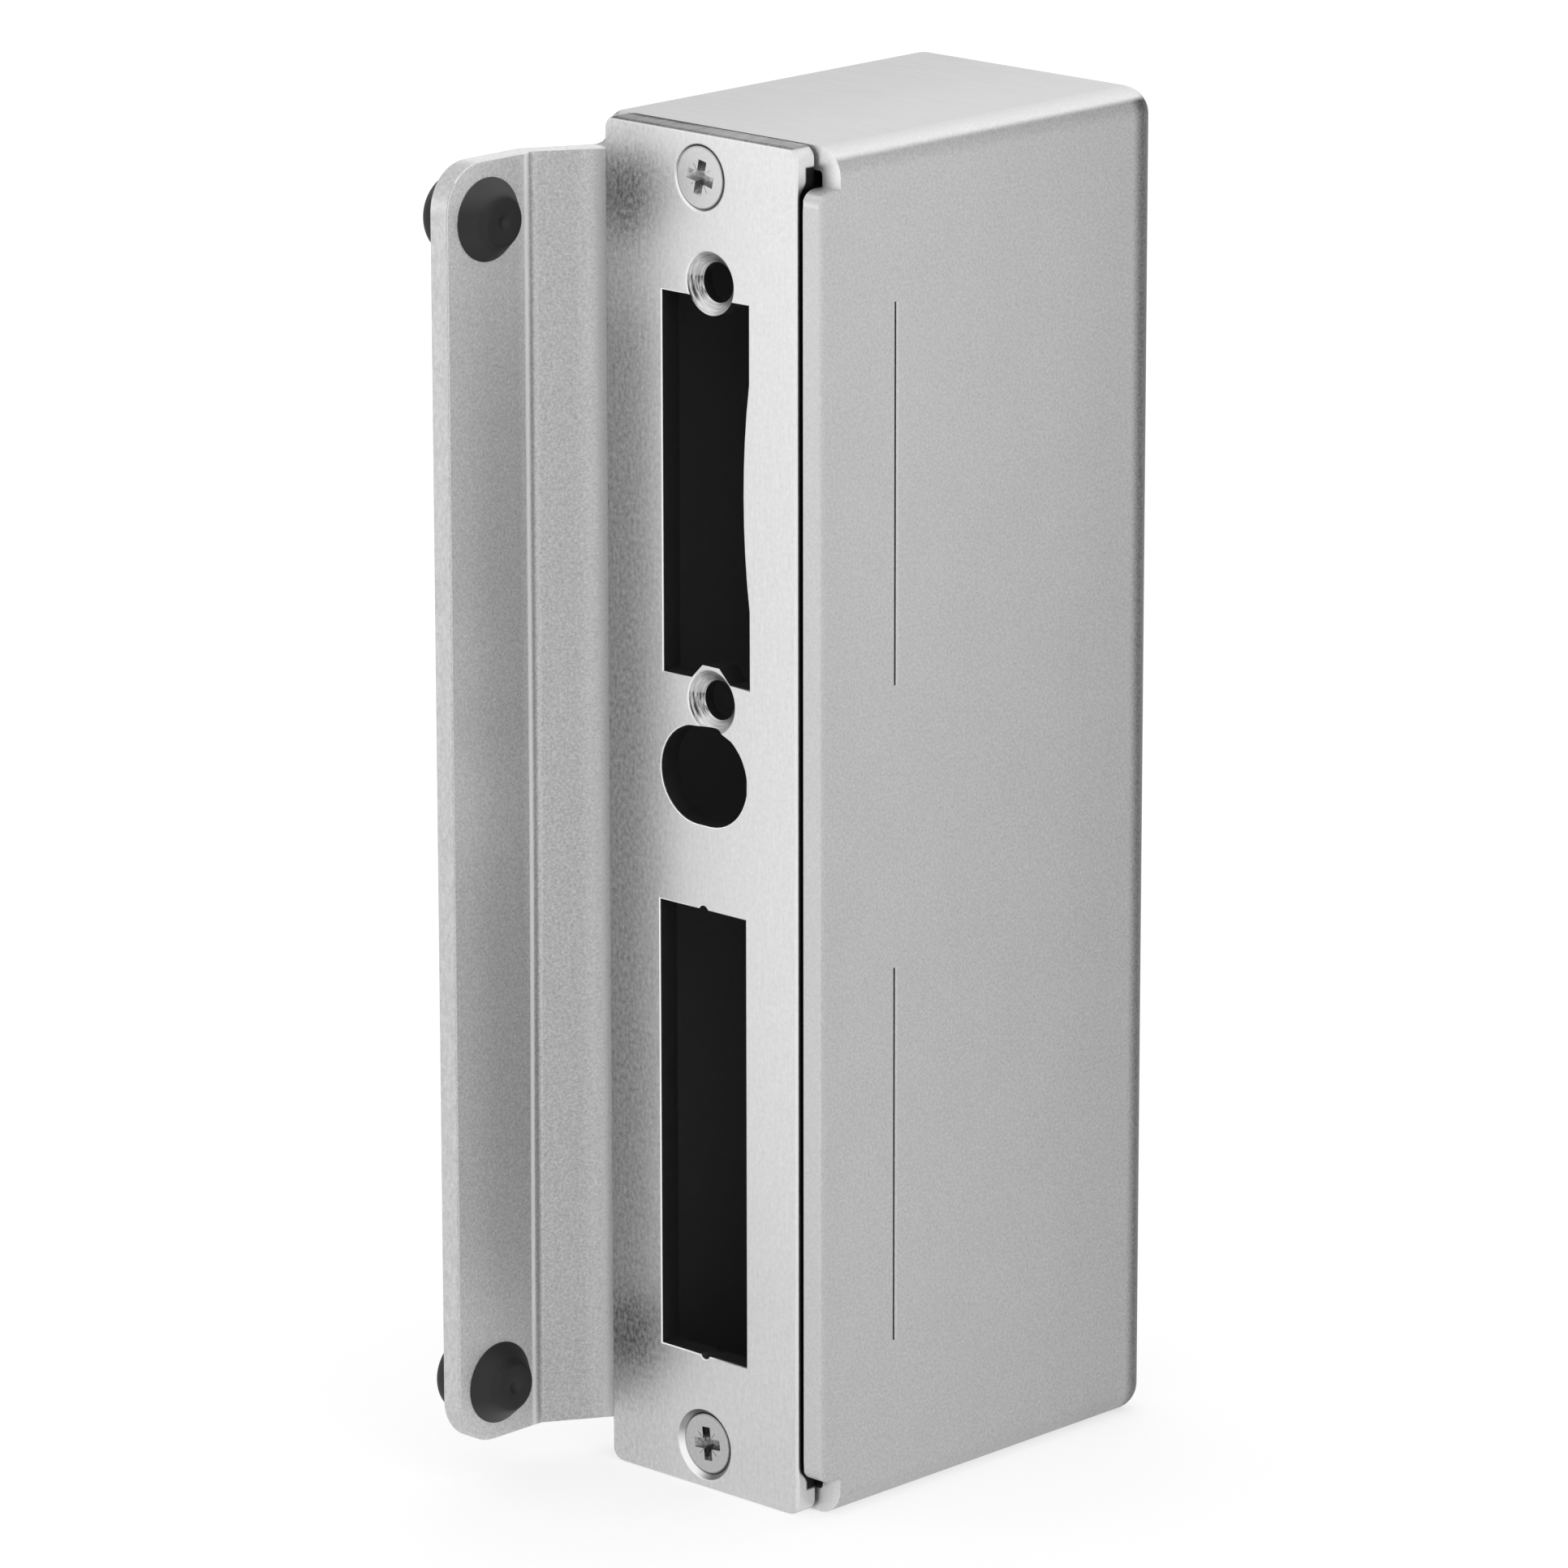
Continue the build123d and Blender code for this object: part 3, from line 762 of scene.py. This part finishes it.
def plate_material(finish):
    """Plated steel with a fine upright brush, a painted reflection along the left side, turned countersinks
    and painted highlights and shade.
    """
    paint = Paint(bpy.data.materials.new("plated_plate")).measure()
    cut, rim, sink, seat = (paint.attribute(name) for name in ("cut", "rim", "sink", "seat"))
    brush = paint.noise(0.35, 3.0, stretch=(1, 1, 9))
    spangle = paint.noise(0.5, 4.0, stretch=(1, 1, 1.4), roughness=0.7)
    cloud = paint.noise(5.0, 3.0, stretch=(1, 1, 2.5))
    cross = paint.noise(0.3, 2.0, stretch=(1, 8, 1))
    # Painted reflection of the flange along the left side.
    reflection_share, reflection_tone = reflection_band(paint, cloud, spangle)
    fine = (brush - 0.5) * 0.16 + (spangle - 0.5) * 0.42
    bright = paint.shade(finish.colour, plate_tone(paint) + fine)
    reflected = paint.shade(finish.reflection_colour, reflection_tone + (brush - 0.5) * 0.2)
    colour = paint.blend(reflection_share, bright, reflected)
    # Painted highlights along the plate's right edge and on the rims of the openings.
    edge = paint.rise(paint.x, PLATE_RIGHT - 0.55, PLATE_RIGHT - 0.25) * 0.3
    colour = paint.blend((rim + edge).smaller(1), colour, finish.rim_highlight_colour)
    strip = paint.rise(paint.z, TOP_Z - 0.3, TOP_Z - 0.1)
    tones = ((strip, top_strip_tone(paint, cross)), (sink, sink_tone(paint)), (seat, seat_tone(paint)))
    for mask, tone in tones:
        colour = paint.blend(mask, colour, paint.shade((1, 1, 1), tone))
    # Painted shade: the opening walls and, nearly black, the plate's flank in the gap beside the lip.
    gap = gap_flank(paint)
    dark = (cut + gap).smaller(1)
    colour = paint.blend(dark, colour, paint.shade(finish.cut_colour, 1 - gap * 0.85))
    return paint.surface({
        "Base Color": colour,
        "Metallic": 1.0,
        "Roughness": finish.roughness + (spangle - 0.5) * 0.25 + dark * 0.1 + strip * 0.25,
        "Normal": paint.bump(brush * 0.3 + spangle * 0.7, 0.015, 0.4),
    })


def screw_material(shape):
    """Plated screw with a painted dark outline of shade, a recess in painted shade with strong mottling and
    painted highlights on the ticks.
    """
    paint = Paint(bpy.data.materials.new("plated_screw")).measure()
    recess, tick = paint.attribute("recess"), paint.attribute("tick")
    spangle = paint.noise(0.4, 3.0)
    across, up, reach = paint.around(0, SCREW_LOW, SCREW_HIGH)
    # Painted shade round the head's edge, strongest at the lower right.
    lower_right = paint.rise((across - up) / reach, -0.2, 1.0)
    outline = paint.rise(reach, SCREW_RADIUS - 0.28, SCREW_RADIUS - 0.12) * (0.35 + 0.35 * lower_right)
    # Painted light: the top screw is lighter than the bottom one.
    tone = 0.74 + 0.26 * paint.rise(paint.z, SCREW_LOW + 20, SCREW_HIGH - 20)
    tone = tone * (1 - outline) + (spangle - 0.5) * (0.25 + 1.2 * recess)
    # Painted shade in the recess and painted highlights on the ticks.
    tone = tone - recess * 0.3 + tick * 0.8
    return paint.surface({
        "Base Color": paint.shade(shape.colour, tone),
        "Metallic": 1.0,
        "Roughness": 0.32 + (spangle - 0.5) * 0.2,
        "Normal": paint.bump(spangle, 0.01, 0.3),
    })


def rubber_material(shape):
    """Black rubber with a little dust, a painted ring of shade round the nose near its tip and painted
    light on its outer side.
    """
    paint = Paint(bpy.data.materials.new("buffer_rubber")).measure()
    grain = paint.noise(0.25, 2.0)
    dust = paint.noise(2.5, 3.0)
    low = paint.rise(paint.z, MIDDLE_Z + 1, MIDDLE_Z - 1)
    up = paint.z - BUFFER_HIGH + low * (BUFFER_HIGH - BUFFER_LOW)
    outward = up * (1 - 2 * low)
    # Painted light on the outer side of the nose, away from the middle of the box.
    above = paint.rise(outward, 1.0, 4.0) * paint.rise(paint.x, BUFFER_TIP - 0.1, BUFFER_TIP - 0.6)
    across = paint.y - BUFFER_MIDDLE
    # Painted shade in a soft ring round the nose near its tip.
    ring = paint.line((across * across + up * up) ** 0.5, 3.25, 0.4)
    tone = 0.85 + (grain - 0.5) * 0.5 + (dust - 0.5) * 0.5 + above * 3 - ring * 0.55
    return paint.surface({
        "Base Color": paint.shade(shape.colour, tone),
        "Roughness": 0.62 + (dust - 0.5) * 0.2,
        "Normal": paint.bump(grain, 0.02, 0.3),
    })


def block_material(finish):
    """Machined steel with fine lines across the block."""
    paint = Paint(bpy.data.materials.new("machined_block")).measure()
    lines = paint.noise(0.3, 2.0, stretch=(20, 1, 1))
    return paint.surface({
        "Base Color": paint.shade(finish.colour, 0.9 + (lines - 0.5) * 0.3),
        "Metallic": 1.0,
        "Roughness": 0.45 + (lines - 0.5) * 0.2,
        "Normal": paint.bump(lines, 0.01, 0.3),
    })


def background_rays(paint):
    """1 for rays of the camera and for what metal and glass mirror, 0 for plain light."""
    kinds = ("Is Camera Ray", "Is Glossy Ray", "Is Transmission Ray")
    camera, glossy, through = (paint.node("ShaderNodeLightPath", {}, {}, kind) for kind in kinds)
    return camera.larger(glossy).larger(through)


def floor_material(look):
    """Pale floor that reads white and keeps the box's shadow."""
    paint = Paint(bpy.data.materials.new("studio_floor")).measure()
    cloud = paint.noise(180.0, 2.0)
    colour = paint.shade(look.floor_colour, 0.98 + (cloud - 0.5) * 0.04)
    plain = paint.node("ShaderNodeBsdfDiffuse", {}, {"Color": colour})
    glow = paint.node("ShaderNodeEmission", {}, {"Color": (1, 1, 1), "Strength": look.floor_glow})
    white = paint.node("ShaderNodeAddShader", {}, {0: plain, 1: glow})
    both = paint.node("ShaderNodeMixShader", {}, {0: background_rays(paint), 1: plain, 2: white})
    paint.node("ShaderNodeOutputMaterial", {}, {"Surface": both})
    return paint.owner


# Screws and buffers


def screw_body(name, head, neck, end):
    """Countersunk head and plain core of a screw, in millimetres along the X axis."""
    core = SHANK_RADIUS - THREAD_DEPTH
    profile = [
        (0, 0), (0, head - 0.12), (0.03, head - 0.03), (0.12, head), (HEAD_EDGE, head),
        (HEAD_EDGE + head - SHANK_RADIUS, SHANK_RADIUS), (neck, core),
        (end - 0.3, core), (end, core - 0.3), (end, 0),
    ]
    return linked(lathe(profile, 72), name)


def cut_recess(body, neck, shape, tree, material):
    """Cuts the four tapered wings of the cross and the small ticks between them, and marks both."""
    reach, width = shape.recess_radius / MM, shape.recess_width / MM
    tick_width, tick_depth = 0.16, 0.22
    wing = wedge(reach, width, shape.recess_depth / MM, tip_share=0.45, foot_share=0.75)
    tick = wedge(reach * 0.9, tick_width, tick_depth, tip_share=0.95, foot_share=0.3)
    wings = repeated(tree, body.name + "_wings", wing, 4, 0, math.pi / 2, material)
    ticks = repeated(tree, body.name + "_ticks", tick, 4, 0, math.pi / 2, material)
    ticks.data.transform(Matrix.Rotation(math.pi / 4, 4, "X"))
    for cutter in (wings, ticks):
        cut = body.modifiers.new("recess", "BOOLEAN")
        cut.object = cutter
        cut.solver = "EXACT"
        cut.use_self = True
    flattened(body)
    for cutter in (wings, ticks):
        bpy.data.objects.remove(cutter)

    def in_recess(centre, normal):
        return 0.02 < centre.x < neck and math.hypot(centre.y, centre.z) < reach + 0.2

    def in_tick(centre, normal):
        slanted = min(abs(centre.y), abs(centre.z)) > 0.6 * max(abs(centre.y), abs(centre.z))
        far = math.hypot(centre.y, centre.z) > width * 0.75
        return in_recess(centre, normal) and centre.x < tick_depth + 0.03 and slanted and far

    mark(body, "recess", in_recess, unit=1)
    mark(body, "tick", in_tick, unit=1)


def add_thread(body, neck, end, pitch, tree, material):
    """Adds ridges along the screw's core, from the neck to the end."""
    core = SHANK_RADIUS - THREAD_DEPTH
    ridge = [(0, core), (pitch * 0.45, SHANK_RADIUS), (pitch * 0.55, SHANK_RADIUS), (pitch, core)]
    count = int((end - neck - 0.6) / pitch)
    thread = repeated(tree, body.name + "_thread", lathe(ridge, 48), count, pitch, 0, material)
    thread.data.transform(Matrix.Translation((neck, 0, 0)))
    joined(body, thread)


def buffer_profile(shape):
    """Half section along the buffer's axis, from the outer head to the nose's tip."""
    head, nose, tip = (radius / MM for radius in (shape.head_radius, shape.nose_radius, shape.tip_radius))
    edge = 1.6
    nose_start = BUFFER_HEAD + SHEET
    arc = [math.radians(90 * k / 8) for k in range(9)]
    points = [(0, 0)]
    points += [(edge - edge * math.cos(t), head - edge + edge * math.sin(t)) for t in arc]
    points += [(BUFFER_HEAD - 0.15, head), (BUFFER_HEAD, head - 0.15)]
    points += [(BUFFER_HEAD, BUFFER_NECK_RADIUS), (nose_start, BUFFER_NECK_RADIUS)]
    points += [(nose_start, nose - 0.1), (nose_start + 0.08, nose)]
    points += [(BUFFER_LENGTH - 0.2, tip + 0.2), (BUFFER_LENGTH - 0.04, tip), (BUFFER_LENGTH, tip - 0.2)]
    points += [(BUFFER_LENGTH, 1.0), (BUFFER_LENGTH - 0.06, 0.85)]
    points += [(BUFFER_LENGTH - 0.45, 0.35), (BUFFER_LENGTH - 0.6, 0)]
    return points


# Operators


class MakeHousing(bpy.types.Operator):
    """Dress the folded housing in blasted steel, with painted light and shade, a dark-painted inside and
    bright cut edges
    """

    bl_idname = "strike_box.make_housing"
    bl_label = "Housing"

    def execute(self, context):
        piece = whole_copy("housing", "housing_sheet")

        def inside(centre, normal):
            across = abs(centre.x) < WALL_INNER + 0.3
            along = PLATE_FRONT + 0.4 < centre.y < WALL_BACK - 2.5
            return across and along and 2.5 < centre.z < TOP_Z - 2.5 and not normal.y < -0.9

        def cut(centre, normal):
            on_flange = centre.x < 0 and centre.y < PLATE_BACK - 1 and abs(normal.x) < 0.3
            return on_flange or (normal.y < -0.7 and centre.y < PLATE_BACK + 1)

        def panel(centre, normal):
            return centre.x < 0 and centre.y < PLATE_BACK and normal.x > 0.3

        def front_edge(middle):
            on_flange = middle.y < PLATE_FRONT - 0.5
            on_lip = middle.x > WALL_INNER - 0.1 and middle.y < PLATE_FRONT + 0.1
            return on_flange or on_lip

        rounded(piece, 0.2, front_edge)
        mark(piece, "inside", inside)
        mark(piece, "cut", cut)
        mark(piece, "panel", panel)
        softened(piece)
        dress(piece, sheet_material(context.scene.sheet_finish), "housing")
        return {"FINISHED"}


class MakePlate(bpy.types.Operator):
    """Dress the punched strike plate in plated steel, with painted shade on the opening walls"""

    bl_idname = "strike_box.make_plate"
    bl_label = "Strike plate"

    def execute(self, context):
        piece = whole_copy("strike_plate", "strike_plate_punched")

        def near(point, x, heights):
            return min(math.hypot(point.x - x, point.z - z) for z in heights)

        def at_strike(point, reach):
            return near(point, STRIKE_X, (STRIKE_LOW, STRIKE_HIGH)) < reach

        def slanted(normal):
            return 0.3 < -normal.y < 0.95

        def opening_edge(middle):
            front = abs(middle.x) < OPENING_REACH and middle.y < PLATE_FRONT + 0.1
            return front and not at_strike(middle, SINK_REACH + 0.3)

        # Walls of the openings, which get painted shade.
        def opening_wall(centre, normal):
            return abs(normal.y) < 0.3 and abs(centre.x) < OPENING_REACH and centre.z < TOP_Z - 10

        # Slanted rim faces of the openings, which get a painted highlight.
        def rim(centre, normal):
            beside = abs(centre.x) < OPENING_REACH and 11 < centre.z < TOP_Z - 11
            return slanted(normal) and beside and not at_strike(centre, SINK_REACH)

        def sink(centre, normal):
            return slanted(normal) and at_strike(centre, SINK_REACH)

        def seat(centre, normal):
            return slanted(normal) and near(centre, 0, (SCREW_LOW, SCREW_HIGH)) < SEAT_REACH

        rounded(piece, 0.18, opening_edge)
        mark(piece, "cut", opening_wall)
        mark(piece, "rim", rim)
        mark(piece, "sink", sink)
        mark(piece, "seat", seat)
        softened(piece)
        dress(piece, plate_material(context.scene.plate_finish), "strike_plate")
        return {"FINISHED"}


class MakeScrews(bpy.types.Operator):
    """Make the countersunk screws with their cross recesses and threads"""

    bl_idname = "strike_box.make_screws"
    bl_label = "Screws"

    def execute(self, context):
        shape = context.scene.screw_shape
        material = screw_material(shape)
        tree = repeat_tree()
        for node, turn in (("plate_screw_top", shape.top_turn), ("plate_screw_bottom", shape.bottom_turn)):
            low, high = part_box(node)
            head = (high.x - low.x) / 2 / MM
            end = (high.y - low.y) / MM
            neck = HEAD_EDGE + head - SHANK_RADIUS + 0.25
            piece = screw_body(node + "_cross", head, neck, end)
            cut_recess(piece, neck, shape, tree, material)
            add_thread(piece, neck, end, shape.pitch / MM, tree, material)
            place = Matrix.Translation(((low.x + high.x) / 2, low.y, (low.z + high.z) / 2))
            turned = Matrix.Rotation(math.radians(90), 4, "Z") @ Matrix.Rotation(turn, 4, "X")
            piece.data.transform(place @ turned @ Matrix.Scale(MM, 4))
            softened(piece, math.radians(30), lambda normal: normal.y < -0.999)
            dress(piece, material, node)
        return {"FINISHED"}


class MakeBuffers(bpy.types.Operator):
    """Make the rubber buffers that go through the stop flange"""

    bl_idname = "strike_box.make_buffers"
    bl_label = "Buffers"

    def execute(self, context):
        shape = context.scene.buffer_shape
        material = rubber_material(shape)
        for node in ("buffer_top", "buffer_bottom"):
            low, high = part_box(node)
            piece = linked(lathe(buffer_profile(shape), 96), node + "_rubber")
            place = Matrix.Translation((low.x, (low.y + high.y) / 2, (low.z + high.z) / 2))
            piece.data.transform(place @ Matrix.Scale(MM, 4))
            softened(piece)
            dress(piece, material, node)
        return {"FINISHED"}


class FinishBlocks(bpy.types.Operator):
    """Give the threaded blocks behind the plate a machined finish"""

    bl_idname = "strike_box.finish_blocks"
    bl_label = "Threaded blocks"

    def execute(self, context):
        material = block_material(context.scene.block_finish)
        for node in ("screw_block_top", "screw_block_bottom"):
            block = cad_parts[node]
            for slot in block.material_slots:
                slot.material = material
        return {"FINISHED"}


class SetStage(bpy.types.Operator):
    """Set up the pale floor, the soft lamps, the surround and the camera"""

    bl_idname = "strike_box.set_stage"
    bl_label = "Stage"

    def execute(self, context):
        look = context.scene.stage_look
        middle, upper = (0, 0, MIDDLE_Z * MM), (0, 0, 0.15)
        self.floor(look)
        self.surround(context, look)
        self.lamp(context, "front_lamp", (-0.95, -1.05, 0.25), middle, (0.8, 0.4), look.front_lamp)
        self.lamp(context, "side_lamp", (1.2, -0.3, 0.5), middle, (0.6, 0.6), look.side_lamp)
        self.lamp(context, "top_lamp", (-0.9, 1.0, 0.55), upper, (0.8, 0.5), look.top_lamp)
        self.camera(context, look)
        context.scene.view_settings.view_transform = "Standard"
        return {"FINISHED"}

    def floor(self, look):
        """Square floor just under the box."""
        reach, gap = 3.0, 0.00005
        corners = [(-reach, -reach, 0), (reach, -reach, 0), (reach, reach, 0), (-reach, reach, 0)]
        mesh = bpy.data.meshes.new("studio_floor")
        mesh.from_pydata(corners, [], [(0, 1, 2, 3)])
        mesh.materials.append(floor_material(look))
        floor = linked(mesh, "studio_floor")
        floor.location.z = CAD_LOW.z - gap

    def surround(self, context, look):
        """Plain soft light all round, seen as white."""
        context.scene.world = bpy.data.worlds.new("surround")
        paint = Paint(context.scene.world)
        light = paint.node("ShaderNodeBackground", {}, {"Color": (1, 1, 1), "Strength": look.world})
        white = paint.node("ShaderNodeBackground", {}, {"Color": (1, 1, 1), "Strength": 1.0})
        both = paint.node("ShaderNodeMixShader", {}, {0: background_rays(paint), 1: light, 2: white})
        paint.node("ShaderNodeOutputWorld", {}, {"Surface": both})

    def lamp(self, context, name, place, aim, size, watts):
        """Soft rectangular lamp that is turned to a point."""
        data = bpy.data.lights.new(name, "AREA")
        data.shape = "RECTANGLE"
        data.size, data.size_y = size
        data.energy = watts
        lamp = bpy.data.objects.new(name, data)
        context.scene.collection.objects.link(lamp)
        lamp.location = place
        lamp.rotation_euler = (Vector(aim) - Vector(place)).to_track_quat("-Z", "Y").to_euler()

    def camera(self, context, look):
        """Camera on a line from the aimed point, turned and raised by the angles of the stage."""
        data = bpy.data.cameras.new("camera")
        data.lens = look.lens
        data.sensor_width = 36.0
        data.clip_start, data.clip_end = 0.05, 20.0
        camera = bpy.data.objects.new("camera", data)
        context.scene.collection.objects.link(camera)
        azimuth, elevation = look.azimuth, look.elevation
        level = math.cos(elevation)
        back = Vector((math.sin(azimuth) * level, -math.cos(azimuth) * level, math.sin(elevation)))
        camera.location = Vector(look.aim) + back * look.distance
        turn = (-back).to_track_quat("-Z", "Y").to_matrix() @ Matrix.Rotation(look.roll, 3, "Z")
        camera.rotation_euler = turn.to_euler()
        context.scene.camera = camera


class StrikeBoxPanel(bpy.types.Panel):
    """Sidebar panel of the strike box"""

    bl_idname = "VIEW3D_PT_strike_box"
    bl_label = "Strike box"
    bl_space_type = "VIEW_3D"
    bl_region_type = "UI"
    bl_category = "Strike box"

    def draw(self, context):
        for operator in OPERATORS:
            self.layout.operator(operator.bl_idname)
        for name, group in GROUPS.items():
            box = self.layout.box()
            for key in group.__annotations__:
                box.prop(getattr(context.scene, name), key)


OPERATORS = (SetStage, MakeHousing, MakePlate, MakeScrews, MakeBuffers, FinishBlocks)
GROUPS = {
    "sheet_finish": SheetFinish,
    "plate_finish": PlateFinish,
    "screw_shape": ScrewShape,
    "buffer_shape": BufferShape,
    "block_finish": BlockFinish,
    "stage_look": StageLook,
}


def register():
    for kind in (*GROUPS.values(), *OPERATORS, StrikeBoxPanel):
        bpy.utils.register_class(kind)
    for name, group in GROUPS.items():
        setattr(bpy.types.Scene, name, bpy.props.PointerProperty(type=group))


def unregister():
    for name in GROUPS:
        delattr(bpy.types.Scene, name)
    for kind in (StrikeBoxPanel, *reversed(OPERATORS), *reversed(GROUPS.values())):
        bpy.utils.unregister_class(kind)


def main():
    register()
    for operator in OPERATORS:
        area, name = operator.bl_idname.split(".")
        getattr(getattr(bpy.ops, area), name)()


if __name__ == "__main__":
    main()
